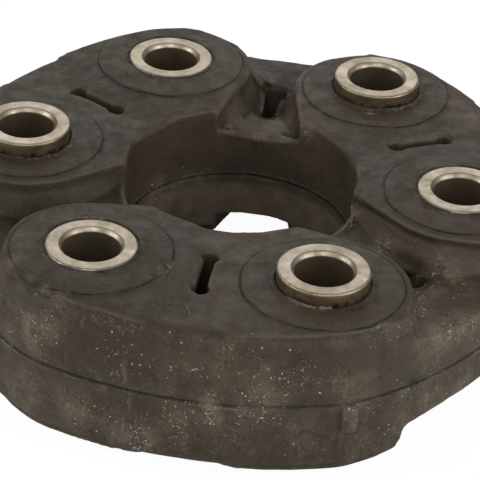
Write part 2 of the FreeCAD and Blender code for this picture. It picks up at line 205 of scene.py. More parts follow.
def finished_copy(mesh: Mesh, modifiers: list[tuple[str, str, dict]]) -> Mesh:
    """Run a mesh through modifiers and keep the result.

    Args:
        mesh: The mesh to start from.
        modifiers: A name, a kind and the settings of each modifier, in order.

    Returns:
        The finished mesh.
    """
    holder = bpy.data.objects.new("bench", mesh)
    bpy.context.scene.collection.objects.link(holder)
    for name, kind, settings in modifiers:
        modifier = holder.modifiers.new(name, kind)
        for key, value in settings.items():
            if key == "weights":
                group = holder.vertex_groups.new(name=f"{name}_weights")
                levels = np.round(value * WEIGHT_STEPS).astype(int)
                for level in np.unique(levels):
                    chosen = np.where(levels == level)[0].tolist()
                    group.add(chosen, float(level) / WEIGHT_STEPS, "REPLACE")
                modifier.vertex_group = group.name
            else:
                setattr(modifier, key, value)
    depsgraph = bpy.context.evaluated_depsgraph_get()
    done = bpy.data.meshes.new_from_object(holder.evaluated_get(depsgraph))
    bpy.data.objects.remove(holder)
    return done


@dataclass(frozen=True)
class DiscPlan:
    """Where the bushes and the links are."""

    bolt_radius: float
    bush_radius: float
    bore_radius: float
    pad_radius: float = 16.85 * MM
    link_heading: float = 90.0
    link_step: float = 120.0

    @classmethod
    def read(cls, record: dict) -> "DiscPlan":
        """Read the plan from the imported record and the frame's boxes.

        Args:
            record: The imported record.

        Returns:
            The plan.
        """
        low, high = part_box("bush_1")
        holes = {mount["name"]: mount["dims"] for mount in record["mounts"]}
        return cls(
            bolt_radius=(low.x + high.x) / 2,
            bush_radius=(high.x - low.x) / 2,
            bore_radius=holes["bush_bore_1"]["r_mm"] * MM,
        )

    def bush_centre(self, index: int) -> Vector:
        """The place of a bush's axis, bush_1 being index 0."""
        angle = index * STEP
        return Vector((self.bolt_radius * math.cos(angle), self.bolt_radius * math.sin(angle), 0))

    def stands_proud(self, index: int, side: Side) -> bool:
        """Whether a bush stands proud of the rubber on a face."""
        return (index % 2 == 1) == (side is Side.UPPER)

    def from_bushes(self, points: Array) -> Array:
        """Measure how far each point is from the nearest bush's axis.

        Args:
            points: Points in metres.

        Returns:
            The distances.
        """
        index = np.round(np.arctan2(points[:, 1], points[:, 0]) / STEP).astype(int) % BUSHES
        across = points[:, 0] - self.bolt_radius * np.cos(index * STEP)
        along = points[:, 1] - self.bolt_radius * np.sin(index * STEP)
        return np.hypot(across, along)

    def from_links(self, points: Array) -> tuple[Array, Array]:
        """Find each point's nearest thin link.

        Args:
            points: Points in metres.

        Returns:
            How far the point is turned from the link, and the link's own heading, in degrees.
        """
        heading = np.degrees(np.arctan2(points[:, 1], points[:, 0])) - self.link_heading
        turned = (heading + self.link_step / 2) % self.link_step - self.link_step / 2
        return turned, heading - turned + self.link_heading

    def in_links(self, points: Array) -> tuple[Array, Array]:
        """Find each point's place in the nearest thin link.

        Args:
            points: Points in metres.

        Returns:
            The length along the link's middle line from the disc's axis, and the length across it.
        """
        turn = np.radians(self.from_links(points)[0])
        reach = np.hypot(points[:, 0], points[:, 1])
        return reach * np.cos(turn), np.abs(reach * np.sin(turn))


class NodeBench:
    """Lays out the nodes of one material, or of the world."""

    def __init__(self, name: str, shelf: object = None) -> None:
        """Start with an empty tree.

        Args:
            name: The material's name.
            shelf: Where Blender keeps it, if it isn't a material.
        """
        self.owner = (bpy.data.materials if shelf is None else shelf).new(name)
        self.owner.use_nodes = True
        self.tree = self.owner.node_tree
        self.tree.nodes.clear()
        self.place = self.add("TexCoord").outputs["Object"]

    def add(self, kind: str, *values: object, **named: object) -> bpy.types.Node:
        """Add a node and fill it in.

        Args:
            kind: The node's type, after the word ShaderNode.
            *values: A value or a socket for each of the first sockets.
            **named: Settings in lower case, and sockets in their own words with _ for a space.

        Returns:
            The node.
        """
        node = self.tree.nodes.new(f"ShaderNode{kind}")
        for name, value in named.items():
            if name.islower():
                setattr(node, name, value)
            else:
                self.feed(node.inputs[name.replace("_", " ")], value)
        for number, value in enumerate(values):
            self.feed(node.inputs[number], value)
        return node

    def feed(self, socket: bpy.types.NodeSocket, value: object) -> None:
        """Link a socket to another, or set its value.

        Args:
            socket: The socket to fill.
            value: The other socket, or the value.
        """
        if isinstance(value, bpy.types.NodeSocket):
            self.tree.links.new(value, socket)
        else:
            socket.default_value = value

    def shifted(self, scale: tuple = (1, 1, 1), shift: tuple = (0, 0, 0)) -> object:
        """Object coordinates, stretched and then moved."""
        return self.add("Mapping", Vector=self.place, Scale=scale, Location=shift).outputs["Vector"]

    def noise(self, scale: float, detail: float, roughness: float, vector: object = None) -> object:
        """A noise pattern with so many waves in a metre, on coordinates or on the object's own."""
        settings = {"Scale": scale, "Detail": detail, "Roughness": roughness}
        return self.add("TexNoise", Vector=vector or self.place, **settings).outputs["Fac"]

    def cloud(self, pattern: Pattern, vector: object = None) -> object:
        """A noise pattern with a range of its values mapped, from 0 to 1 if the pattern doesn't say."""
        return self.step(self.noise(*pattern[:3], vector), *pattern[3:])

    def sum(self, operation: str, *values: object) -> object:
        """One step of arithmetic with sockets or numbers."""
        return self.add("Math", *values, operation=operation).outputs[0]

    def product(self, *values: object) -> object:
        """Sockets or numbers multiplied, from the first on."""
        return reduce(lambda first, second: self.sum("MULTIPLY", first, second), values)

    def hypot(self, across: object, along: object) -> object:
        """The length of a line from its two legs."""
        return self.sum("SQRT", self.sum("ADD", self.product(across, across), self.product(along, along)))

    def step(self, value: object, low: float, high: float, start: float = 0.0, end: float = 1.0) -> object:
        """Map the range from low to high to one from start to end, smoothly and with its ends held."""
        ends = {"From_Min": low, "From_Max": high, "To_Min": start, "To_Max": end}
        return self.add("MapRange", interpolation_type="SMOOTHSTEP", Value=value, **ends).outputs["Result"]

    def near(self, value: object, middle: float, full: float, none: float) -> object:
        """1 where a length is full or less from the middle one, and 0 from none on, in millimetres."""
        gap = self.sum("ABSOLUTE", self.sum("SUBTRACT", value, middle * MM))
        return self.step(gap, full * MM, none * MM, 1, 0)

    def blend(self, under: object, over: object, *shares: object) -> object:
        """Lay one colour over another.

        Args:
            under: A socket or a colour.
            over: A socket or a colour.
            *shares: Sockets or numbers whose product says how much of the upper one shows.

        Returns:
            The socket of the mixed colour.
        """
        node = self.add("Mix", data_type="RGBA")
        for number, value in ((0, self.product(*shares)), (6, under), (7, over)):
            self.feed(node.inputs[number], value)
        return node.outputs[2]

    def bump(self, height: object, strength: float, depth: float, under: object = None) -> object:
        """The normal of a height in millimetres, on another normal if one is given."""
        sockets = {"Distance": depth * MM} | ({} if under is None else {"Normal": under})
        return self.add("Bump", Height=height, Strength=strength, **sockets).outputs["Normal"]

    def grained(self, relief: Relief, under: object = None, vector: object = None) -> object:
        """The normal of a noise pattern, on another normal if one is given."""
        return self.bump(self.noise(*relief[:3], vector), *relief[3:], under)

    def attribute(self, name: str) -> object:
        """The value of a mesh attribute."""
        return self.add("Attribute", attribute_name=name).outputs["Fac"]

    def bush_distance(self, bolt_radius: float) -> object:
        """The distance from the nearest bush's axis.

        Args:
            bolt_radius: The radius of the bushes' circle.

        Returns:
            The socket of the distance.
        """
        parts = self.add("SeparateXYZ", Vector=self.place).outputs
        turned = self.sum("DIVIDE", self.sum("ARCTAN2", parts["Y"], parts["X"]), STEP)
        folded = self.product(self.sum("SUBTRACT", turned, self.sum("ROUND", turned)), STEP)
        reach = self.hypot(parts["X"], parts["Y"])
        out = self.sum("SUBTRACT", self.product(reach, self.sum("COSINE", folded)), bolt_radius)
        return self.hypot(out, self.product(reach, self.sum("SINE", folded)))

    def close(self, surface: object, kind: str = "Material") -> object:
        """Join a shader's socket to the output, and give the material or the world back."""
        self.add(f"Output{kind}", Surface=surface)
        return self.owner

    def finish(self, **inputs: object) -> Material:
        """Close the tree with a shader that has these sockets filled in."""
        return self.close(self.add("BsdfPrincipled", **inputs).outputs["BSDF"])


def tone(*seen: float) -> Tone:
    """A colour in the shader's own linear values.

    Args:
        *seen: Its red, green and blue as the eye sees them, from 0 to 255.

    Returns:
        The colour, with a full last value.
    """
    shares = [value / 255 for value in seen]
    linear = [share / 12.92 if share <= 0.04045 else ((share + 0.055) / 1.055) ** 2.4 for share in shares]
    return (linear[0], linear[1], linear[2], 1.0)


@dataclass(frozen=True)
class AgedRubber:
    """Dark warm rubber with a dusty bloom, pale scuffs on the wall, pale dust with painted light at given
    spots, dark soil with painted shade in its creases and grooves and round the bushes, and dust with painted
    bounce light low in the middle hole.
    """

    deep: Tone = tone(37, 30, 21)
    plain: Tone = tone(55, 47, 35)
    bloom: Tone = tone(77, 67, 53)
    chalk: Tone = tone(150, 140, 124)
    dusty: Tone = tone(120, 108, 92)
    soil_and_shade: Tone = tone(22, 18, 12)
    worn: Tone = tone(100, 91, 76)
    broad: Pattern = (26, 3, 0.6, 0.36, 0.66)
    clouds: Pattern = (75, 5, 0.68, 0.36, 0.66)
    coats: tuple[tuple[Tone, Pattern], ...] = (
        (deep, (150, 6, 0.72, 0.5, 0.7, 0, 0.75)),
        (worn, (1700, 4, 0.7, 0.52, 0.74, 0, 0.5)),
        (deep, (1700, 4, 0.7, 0.26, 0.44, 0.5, 0)),
    )
    wall_coats: tuple[tuple[Tone, Pattern, tuple, tuple], ...] = (
        (dusty, (120, 6, 0.75, 0.5, 0.72, 0, 0.42), (1, 1, 0.6), (3, 1, 2)),
        (deep, (95, 5, 0.7, 0.52, 0.72, 0, 0.55), (1, 1, 0.7), (7, 2, 5)),
        (chalk, (230, 5, 0.7, 0.6, 0.74, 0, 0.3), (1, 1, 0.14), (0, 0, 0)),
    )
    clusters: Pattern = (80, 3, 0.6, 0.45, 0.62)
    wall_dust: tuple[Pattern, ...] = ((1300, 2, 0.8, 0.63, 0.68), (2600, 2, 0.8, 0.62, 0.67))
    dust_strength: float = 0.75
    hole_dust_and_light: Pattern = (210, 5, 0.7, 0.3, 0.7, 0.35, 0.8)
    hole_dust_and_light_top: Band = mm(-3.5, -0.6)
    ridge_strength: float = 0.55
    hollow_shade_strength: float = 0.8
    line_soil_and_shade: Pattern = (300, 3, 0.6, 0.3, 0.6, 0.35, 0.95)
    line_band: tuple[float, float, float] = (0, 0.2, 0.5)
    flash_kept: Pattern = (60, 3, 0.6, 0.5, 0.6, 0, 0.55)
    flash_band: tuple[float, float, float] = (-0.75, 0.08, 0.3)
    ring_wander: Pattern = (90, 2, 0.5, 0.3, 0.7, -0.14 * MM, 0.14 * MM)
    ring_band: Band = (0.1, 0.32)
    ring_broken: Pattern = (160, 3, 0.6, 0.32, 0.52, 0.3, 1.0)
    ring_shade_strength: float = 0.85
    face_level: Band = mm(15.2, 16.2)
    bush_fray: Pattern = (420, 5, 0.7, 0.3, 0.7, -0.9 * MM, 0.9 * MM)
    bush_soil_and_shade: tuple[float, ...] = (10.3 * MM, 12.0 * MM, 0.6, 0)
    fringe_band: tuple[float, float, float] = (10.5, 0.15, 0.55)
    fringe: tuple[Pattern, ...] = ((1300, 3, 0.8, 0.5, 0.6), (70, 3, 0.6, 0.4, 0.6, 0.15, 0.85))
    marked_coats: tuple[tuple[Tone, Pattern], ...] = (
        (dusty, (260, 6, 0.8, 0.34, 0.62)),
        (chalk, (1500, 3, 0.8, 0.58, 0.66)),
    )
    ring_bump: Band = (0.7, 0.35)
    skin: tuple[Relief, ...] = ((330, 6, 0.7, 0.5, 0.5), (2200, 3, 0.7, 0.45, 0.14))
    sheen: Pattern = (240, 5, 0.7, 0.3, 0.75, 0.42, 0.74)

    def scuffed(self, bench: NodeBench, height: object) -> object:
        """The bloom of the whole skin, the wear of the outer wall and the dust with painted bounce light low
        in the middle hole.

        Args:
            bench: The material's bench.
            height: The socket of the height above the middle plane.

        Returns:
            The socket of the colour.
        """
        bloomed = bench.sum("ADD", bench.cloud(self.broad), bench.cloud(self.clouds))
        colour = bench.blend(self.plain, self.bloom, bloomed, 0.5)
        for shade, pattern in self.coats:
            colour = bench.blend(colour, shade, bench.cloud(pattern))
        wall = bench.attribute("wall")
        for shade, pattern, stretch, shift in self.wall_coats:
            colour = bench.blend(colour, shade, bench.cloud(pattern, bench.shifted(stretch, shift)), wall)
        clusters = bench.cloud(self.clusters)
        for pattern in self.wall_dust:
            colour = bench.blend(colour, self.chalk, bench.cloud(pattern), clusters, wall, self.dust_strength)
        # dust with painted bounce light: the lower part of the middle hole made paler
        low = bench.step(height, *self.hole_dust_and_light_top, 1, 0)
        return bench.blend(colour, self.dusty, low, bench.cloud(self.hole_dust_and_light), bench.attribute("hole"))

    def ringed(self, bench: NodeBench, plan: DiscPlan, height: object, away: object) -> object:
        """The line that the mould left round each pad.

        Args:
            bench: The material's bench.
            plan: Where the bushes are.
            height: The socket of the height above the middle plane.
            away: The socket of the distance from the nearest bush's axis.

        Returns:
            The socket of the line's strength.
        """
        wandering = bench.sum("ADD", away, bench.cloud(self.ring_wander))
        ring = bench.near(wandering, plan.pad_radius / MM, *self.ring_band)
        on_face = bench.step(bench.sum("ABSOLUTE", height), *self.face_level)
        return bench.product(ring, on_face, bench.cloud(self.ring_broken))

    def make(self, plan: DiscPlan) -> Material:
        """Build the material.

        Args:
            plan: Where the bushes are.

        Returns:
            The rubber's material.
        """
        bench = NodeBench("aged_rubber")
        height = bench.add("SeparateXYZ", Vector=bench.place).outputs["Z"]
        away = bench.bush_distance(plan.bolt_radius)
        ring = self.ringed(bench, plan, height, away)
        frayed = bench.sum("ADD", away, bench.cloud(self.bush_fray))
        fringe = [bench.cloud(pattern) for pattern in self.fringe]
        colour = self.scuffed(bench, height)
        for shade, *shares in (
            (self.worn, bench.attribute("ridge"), self.ridge_strength),
            # painted shade with soil: the darkest tone laid into the hollows and creases
            (self.soil_and_shade, bench.attribute("hollow"), self.hollow_shade_strength),
            # painted shade with soil: a broken dark line in the parting groove
            (self.soil_and_shade, bench.near(height, *self.line_band), bench.cloud(self.line_soil_and_shade)),
            (self.dusty, bench.near(height, *self.flash_band), bench.cloud(self.flash_kept)),
            # painted shade: a dark line in the groove round each pad
            (self.soil_and_shade, ring, self.ring_shade_strength),
            # painted shade with soil: darker rubber in the dip just round each bush
            (self.deep, bench.step(frayed, *self.bush_soil_and_shade)),
            (self.dusty, bench.near(away, *self.fringe_band), *fringe),
        ):
            colour = bench.blend(colour, shade, *shares)
        # pale dust with painted light: paler patches at the given spots on the wall and faces
        for shade, pattern in self.marked_coats:
            colour = bench.blend(colour, shade, bench.attribute("dust_and_light"), bench.cloud(pattern))
        skin = bench.bump(bench.product(ring, -1.0), *self.ring_bump)
        for relief in self.skin:
            skin = bench.grained(relief, skin)
        rough = bench.cloud(self.sheen)
        return bench.finish(Base_Color=colour, Roughness=rough, Specular_IOR_Level=0.32, Normal=skin)


@dataclass(frozen=True)
class TurnedSteel:
    """Dull bright steel with fine turning marks, darker brown in the bore, and with painted shade on its
    side: darker and browner overall, and darker still with grime toward the rubber.
    """

    centre: Vector
    seed: float
    bright: Tone = tone(190, 179, 163)
    dull: Tone = tone(162, 150, 132)
    side: Tone = tone(142, 125, 100)
    stain: Tone = tone(96, 78, 55)
    dark: Tone = tone(86, 75, 58)
    grime_and_shade: Tone = tone(34, 26, 17)
    mottling: Pattern = (160, 4, 0.6, 0.35, 0.68)
    spotting: Pattern = (700, 4, 0.7, 0.63, 0.78)
    speckling: Pattern = (1100, 4, 0.7, 0.5, 0.66)
    down_marks: Pattern = (520, 4, 0.6, 0.36, 0.6, 0.45, 1)
    sheen: Pattern = (420, 4, 0.6, 0.3, 0.7, 0.36, 0.54)
    skin: Relief = (900, 4, 0.6, 0.2, 0.06)
    turning: Band = (0.4, 0.05)
    turning_waves: float = 5.0
    turning_octaves: float = 4.0
    spot_strength: float = 0.4
    speckle_strength: float = 0.6
    rim: Band = mm(-0.7, -0.15)
    wall: Band = mm(-0.12, -0.01)
    bore: Band = mm(0.02, 0.14)
    unmarked_end: Band = mm(0.8, 2.6)

    def make(self, bush_radius: float, bore_radius: float, low: float, high: float) -> Material:
        """Build the material of one bush.

        Args:
            bush_radius: The bush's outer radius.
            bore_radius: The bore's radius.
            low: The height of the lower face.
            high: The height of the upper face.

        Returns:
            The bush's material.
        """
        bench = NodeBench(f"turned_steel_{int(self.seed)}")
        local = bench.shifted(shift=(-self.centre.x, -self.centre.y, 0))
        parts = bench.add("SeparateXYZ", Vector=local).outputs
        radius = bench.hypot(parts["X"], parts["Y"])
        shift = bench.shifted(shift=(self.seed, self.seed * 0.7, 0))
        down = bench.shifted((1, 1, 0.25), (self.seed, 2.0, 0))
        spots = bench.cloud(self.spotting, shift)
        outer = bench.step(radius, *(bush_radius + back for back in self.rim))
        side_wall = bench.step(radius, *(bush_radius + back for back in self.wall))
        # grime with painted shade: darker down the side toward the rubber, away from the bush's ends
        below = bench.step(parts["Z"], *(low + up for up in self.unmarked_end))
        above = bench.step(parts["Z"], *(high - back for back in reversed(self.unmarked_end)), 1, 0)
        grimed_and_shaded = bench.product(above, below, bench.cloud(self.down_marks, down))
        in_bore = bench.step(radius, *(bore_radius + out for out in self.bore), 1, 0)
        colour = self.bright
        for shade, *shares in (
            (self.dull, bench.cloud(self.mottling, shift)),
            (self.stain, spots, self.spot_strength),
            (self.stain, outer, bench.cloud(self.speckling, shift), self.speckle_strength),
            # painted shade: the bush's side darker and browner than its faces
            (self.side, side_wall),
            # grime with painted shade on the side
            (self.grime_and_shade, grimed_and_shaded, side_wall),
            (self.dark, in_bore),
        ):
            colour = bench.blend(colour, shade, *shares)
        rings = bench.add(
            "TexNoise", noise_dimensions="1D", W=bench.product(radius, 1 / MM),
            Scale=self.turning_waves, Detail=self.turning_octaves,
        )
        skin = bench.grained(self.skin, bench.bump(rings.outputs["Fac"], *self.turning), shift)
        dulled = bench.sum("MAXIMUM", bench.sum("MAXIMUM", in_bore, grimed_and_shaded), bench.product(spots, 0.5))
        metal = bench.step(dulled, 0, 1, 1.0, 0.35)
        return bench.finish(
            Base_Color=colour, Metallic=metal, Roughness=bench.cloud(self.sheen, shift), Normal=skin,
        )


@dataclass(frozen=True)
class TwoToneFinish:
    """A finish of two tones that a noise pattern mixes, with a grain of its own."""

    name: str
    first: Tone
    second: Tone
    pattern: Pattern
    grain: Relief
    roughness: float
    gloss: float = 0.5
    metallic: float = 0.0
    stretch: tuple[float, float, float] | None = None

    def make(self) -> Material:
        """Build the material."""
        bench = NodeBench(self.name)
        vector = bench.shifted(self.stretch) if self.stretch else None
        return bench.finish(
            Base_Color=bench.blend(self.first, self.second, bench.cloud(self.pattern, vector)),
            Metallic=self.metallic, Roughness=self.roughness, Specular_IOR_Level=self.gloss,
            Normal=bench.grained(self.grain, vector=vector),
        )


# Torn strips of rubber, paler and drier than the skin.
TORN_RUBBER = TwoToneFinish(
    "torn_rubber", tone(116, 107, 90), tone(82, 73, 58), (700, 4, 0.7, 0.36, 0.62),
    (1800, 4, 0.7, 0.6, 0.15), roughness=0.7, gloss=0.35,
)
# Dry pale dust and lint that clings to the wall.
CHALK_DUST = TwoToneFinish(
    "chalk_dust", tone(186, 181, 170), tone(128, 120, 108), (260, 2, 0.5, 0.4, 0.62),
    (3000, 2, 0.6, 0.5, 0.1), roughness=0.9, gloss=0.2,
)
# Pale cord wound in many turns, soaked with rubber.
WOUND_CORD = TwoToneFinish(
    "wound_cord", tone(96, 84, 66), tone(196, 186, 160), (2400, 2, 0.5, 0.4, 0.62),
    (2400, 2, 0.5, 0.6, 0.2), roughness=0.8, stretch=(0.06, 0.06, 1),
)
# Thin sheet steel with a grey phosphate skin.
PRESSED_STEEL = TwoToneFinish(
    "pressed_steel", tone(150, 150, 150), tone(104, 103, 100), (300, 4, 0.6, 0.35, 0.65),
    (1200, 3, 0.6, 0.3, 0.05), roughness=0.42, metallic=1.0,
)


@dataclass
class RubberDisc:
    """The moulded disc: one soft mesh over the construction's solids."""

    plan: DiscPlan
    sealed: list[str]
    voxel: float = 0.42 * MM
    faces_kept: int = 180_000
    weld: float = 1e-6
    plug_inner: float = 7.2 * MM
    plug_lap: float = 0.25 * MM
    plug_sink: float = 0.5 * MM
    plug_segments: int = 64
    ring_level: float = 17.0 * MM
    pad_level: float = 18.65 * MM
    pad_edge: Band = mm(17.0, 17.7)
    trough_half: Band = mm(15, 19)
    trough_rise: Band = mm(4, 7)
    trough_spread: float = 6 * MM
    spread_reach: Band = mm(50, 62)
    boss_reach: Band = mm(55, 60)
    boss_half: Band = mm(22, 27)
    boss_rise: Band = mm(6, 9)
    boss_edge: Band = mm(17.0, 17.9)
    slot_from: float = 36.8 * MM
    slot_to: float = 48.25 * MM
    slot_half: float = 1.5 * MM
    slot_edge: Band = mm(0.6, 2.2)
    funnel_width: float = 3.0 * MM
    funnel_depth: float = 1.0 * MM
    bead_reach: float = 26.0 * MM
    bead_width: float = 1.0 * MM
    bead_half: Band = mm(8.0, 9.6)
    bead_height: float = 0.55 * MM
    flare: float = 0.95 * MM
    flare_start: float = 0.2
    flare_width: Band = mm(0.5, 4.5)
    flare_rise: Band = mm(2.5, 8.5)
    flare_middle: float = 0.6 * MM
    flare_run: float = 6 * MM
    ripple_from: Band = mm(9.8, 11.5)
    ripples: tuple[tuple[float, float, float], ...] = (
        (0.16 * MM, 14 * MM, 3.1), (0.07 * MM, 4.5 * MM, 11.7),
    )
    line_half: float = 0.4 * MM
    line_depth: float = 0.45 * MM
    line_band: float = 2 * MM
    line_grain: float = 9 * MM
    wall_reach: Band = mm(56, 60)
    hole_reach: Band = mm(26, 28)
    bend_rounds: int = 3

    def seat_tube(self, bm: BMesh, index: int) -> None:
        """Close the rubber against one bush with a tube that hides in the steel.

        Args:
            bm: Where it goes.
            index: The bush's index.
        """
        levels = []
        for side in (Side.LOWER, Side.UPPER):
            top = self.ring_level if self.plan.stands_proud(index, side) else self.pad_level
            levels.append(side.value * (top - self.plug_sink))
        verts = []
        for radius in (self.plug_inner, self.plan.bush_radius + self.plug_lap):
            ring = bmesh.ops.create_circle(bm, segments=self.plug_segments, radius=radius)
            verts += ring["verts"]
        edges = list({edge for vert in verts for edge in vert.link_edges})
        base = bmesh.ops.bridge_loops(bm, edges=edges)["faces"]
        bmesh.ops.translate(bm, verts=verts, vec=self.plan.bush_centre(index) + Vector((0, 0, levels[0])))
        raised = bmesh.ops.extrude_face_region(bm, geom=base, use_keep_orig=True)["geom"]
        top_verts = [item for item in raised if isinstance(item, bmesh.types.BMVert)]
        bmesh.ops.translate(bm, verts=top_verts, vec=(0, 0, levels[1] - levels[0]))

    def gather(self) -> Mesh:
        """Bring the rubber's solid, what it seals in and the seat tubes together.

        Returns:
            One mesh of closed shells that overlap.
        """
        bm = bmesh.new()
        for node in ["rubber_body"] + self.sealed:
            part = bmesh.new()
            part.from_mesh(frame["nodes"][node].data)
            bmesh.ops.remove_doubles(part, verts=part.verts, dist=self.weld)
            merge(bm, part)
        for index in range(BUSHES):
            self.seat_tube(bm, index)
        return closed(bm, "gathered")

    def trough_share(self, points: Array) -> Array:
        """How much each point belongs to the troughs over the thin links: 1 inside, 0 on the pads.

        Args:
            points: The mesh's points.

        Returns:
            A share from 0 to 1 for each point.
        """
        along, across = self.plan.in_links(points)
        off_pad = ease(*self.pad_edge, self.plan.from_bushes(points))
        widen = self.trough_spread * ease(*self.spread_reach, np.hypot(along, across))
        inside = 1 - ease(self.trough_half[0] + widen, self.trough_half[1] + widen, across)
        return off_pad * inside * ease(*self.trough_rise, np.abs(points[:, 2]))

    def boss_end_share(self, points: Array) -> Array:
        """How much each point belongs to the blunt outer ends of the bosses beside the troughs.

        Args:
            points: The mesh's points.

        Returns:
            A share from 0 to 1 for each point.
        """
        along, across = self.plan.in_links(points)
        outside = ease(*self.boss_reach, np.hypot(along, across))
        beside = 1 - ease(*self.boss_half, across)
        raised = ease(*self.boss_rise, np.abs(points[:, 2]))
        return outside * beside * raised * ease(*self.boss_edge, self.plan.from_bushes(points))

    def slot_distance(self, points: Array) -> Array:
        """Measure how far each point stands from the wall of the nearest thin link's slot.

        Args:
            points: The mesh's points.

        Returns:
            Lengths in metres, below 0 inside the slot.
        """
        along, across = self.plan.in_links(points)
        beyond = np.maximum(np.maximum(self.slot_from - along, along - self.slot_to), 0)
        return np.hypot(beyond, across) - self.slot_half

    def shape(self) -> Mesh:
        """Remesh, soften and thin out the disc.

        Returns:
            The disc's mesh, still without its parting line.
        """
        remesh = ("skin", "REMESH", {"mode": "VOXEL", "voxel_size": self.voxel})
        settle = ("settle", "SMOOTH", {"factor": 0.5, "iterations": 2})
        mesh = finished_copy(self.gather(), [remesh, settle])
        points, _ = read_skin(mesh)
        share = self.trough_share(points) * ease(*self.slot_edge, self.slot_distance(points))
        soften = ("soften", "SMOOTH", {"factor": 0.5, "iterations": 7, "weights": share})
        blunt = ("blunt", "SMOOTH", {"factor": 0.5, "iterations": 60, "weights": self.boss_end_share(points)})
        mesh = finished_copy(mesh, [soften, blunt])
        for change in (self.settle_troughs, self.flare_slots, self.ripple):
            points, normals = read_skin(mesh)
            change(points, normals)
            write_points(mesh, points)
        triangles = sum(len(face.vertices) - 2 for face in mesh.polygons)
        return finished_copy(mesh, [("thin", "DECIMATE", {"ratio": min(1.0, self.faces_kept / triangles)})])

    def settle_troughs(self, points: Array, normals: Array) -> None:
        """Raise a bead along each trough's end at the middle hole, and sink the floor round each slot.

        Args:
            points: The disc's points, which are moved.
            normals: Their normals.
        """
        along, across = self.plan.in_links(points)
        facing_out = ease(0.2, 0.7, np.abs(normals[:, 2])) * self.trough_share(points)
        bead = bell(np.hypot(along, across) - self.bead_reach, self.bead_width)
        bead *= 1 - ease(*self.bead_half, across)
        sunk = (1 - ease(0, self.funnel_width, self.slot_distance(points))) ** 2
        lift = self.bead_height * bead - self.funnel_depth * sunk
        points[:, 2] += np.sign(points[:, 2]) * lift * facing_out

    def flare_slots(self, points: Array, _: Array) -> None:
        """Spread the mouths of the troughs' slots like funnels.

        Args:
            points: The disc's points, which are moved.
            _: Their normals, which aren't needed.
        """
        along, across = self.plan.in_links(points)
        near = 1 - ease(*self.flare_width, np.abs(self.slot_distance(points)))
        inner = ease(self.slot_from - self.flare_run, self.slot_from, along)
        near *= inner * (1 - ease(self.slot_to, self.slot_to + self.flare_run, along))
        open_end = ease(*self.flare_rise, np.abs(points[:, 2]))
        spread = self.flare_start + (1 - self.flare_start) * ease(self.slot_from, self.slot_to, along)
        push = self.flare * spread * near * open_end * ease(0, self.flare_middle, across)
        turned, heading = self.plan.from_links(points)
        away = np.sign(turned) * push
        points[:, 0] -= np.sin(np.radians(heading)) * away
        points[:, 1] += np.cos(np.radians(heading)) * away

    def ripple(self, points: Array, normals: Array) -> None:
        """Give the skin the slight unevenness of a moulding that has been in use.

        Args:
            points: The disc's points, which are moved.
            normals: Their normals.
        """
        free = ease(*self.ripple_from, self.plan.from_bushes(points))
        push = sum(height * waves(points, grain, seed) for height, grain, seed in self.ripples)
        points += normals * (push * free)[:, None]

    def parting_line(self, mesh: Mesh) -> None:
        """Cut the fine groove that the mould's joint left round the wall and the middle hole.

        Args:
            mesh: The disc's mesh.
        """
        bm = bmesh.new()
        bm.from_mesh(mesh)
        for level in (-self.line_half, 0.0, self.line_half):
            band = [face for face in bm.faces if abs(face.calc_center_median().z - level) < self.line_band]
            geom = set(band)
            for face in band:
                geom.update(face.edges)
                geom.update(face.verts)
            bmesh.ops.bisect_plane(bm, geom=list(geom), plane_co=(0, 0, level), plane_no=AXIS, dist=self.weld)
        bm.normal_update()
        for vert in bm.verts:
            offset = abs(vert.co.z)
            outward = Vector((vert.normal.x, vert.normal.y, 0))
            bush = self.plan.bush_centre(round(math.atan2(vert.co.y, vert.co.x) / STEP) % BUSHES)
            from_bush = (Vector((vert.co.x, vert.co.y, 0)) - bush).length
            off_line = offset > self.line_half * 0.9
            if off_line or from_bush < self.plan.bush_radius + MM or outward.length < 0.5:
                continue
            uneven = 0.75 + 0.5 * noise.noise(vert.co / self.line_grain)
            vert.co -= outward.normalized() * self.line_depth * uneven * (1 - offset / self.line_half)
        bmesh.ops.triangulate(bm, faces=[face for face in bm.faces if len(face.verts) > 4])
        bm.to_mesh(mesh)
        bm.free()

    def mark(self, mesh: Mesh) -> None:
        """Note whether each point lies on a ridge, in a hollow, on the outer wall or in the middle hole.

        Args:
            mesh: The finished mesh.
        """
        points, normals = read_skin(mesh)
        edges = np.empty(len(mesh.edges) * 2, np.int32)
        mesh.edges.foreach_get("vertices", edges)
        first, second = edges.reshape(-1, 2).T
        bend = np.zeros(len(points))
        count = np.zeros(len(points))
        step = points[second] - points[first]
        length = np.linalg.norm(step, axis=1) + 1e-9
        turn = ((normals[second] - normals[first]) * step).sum(1) / (length * length)
        for ends in (first, second):
            np.add.at(bend, ends, turn)
            np.add.at(count, ends, 1)
        bend = bend / np.maximum(count, 1) * MM
        for _ in range(self.bend_rounds):
            total = np.zeros(len(points))
            np.add.at(total, first, bend[second])
            np.add.at(total, second, bend[first])
            bend = 0.5 * bend + 0.5 * total / np.maximum(count, 1)
        reach = np.hypot(points[:, 0], points[:, 1])
        upright = 1 - ease(0.5, 0.85, np.abs(normals[:, 2]))
        write_attribute(mesh, "ridge", ease(0.12, 0.6, bend))
        # the hollow share is darkened in the rubber's colour as painted shade
        write_attribute(mesh, "hollow", ease(0.1, 0.6, -bend))
        write_attribute(mesh, "wall", upright * ease(*self.wall_reach, reach))
        write_attribute(mesh, "hole", upright * (1 - ease(*self.hole_reach, reach)))

    def build(self, finish: Material, marks: "WornMarks") -> Object:
        """Make the disc.

        Args:
            finish: The rubber's material.
            marks: What wear and handling left in the skin.

        Returns:
            The disc, which stands for the construction's rubber solid.
        """
        mesh = self.shape()
        self.parting_line(mesh)
        marks.carve(mesh)
        self.mark(mesh)
        marks.paint(mesh)
        disc = add_piece("rubber_disc", mesh, finish)
        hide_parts("rubber_body")
        return disc


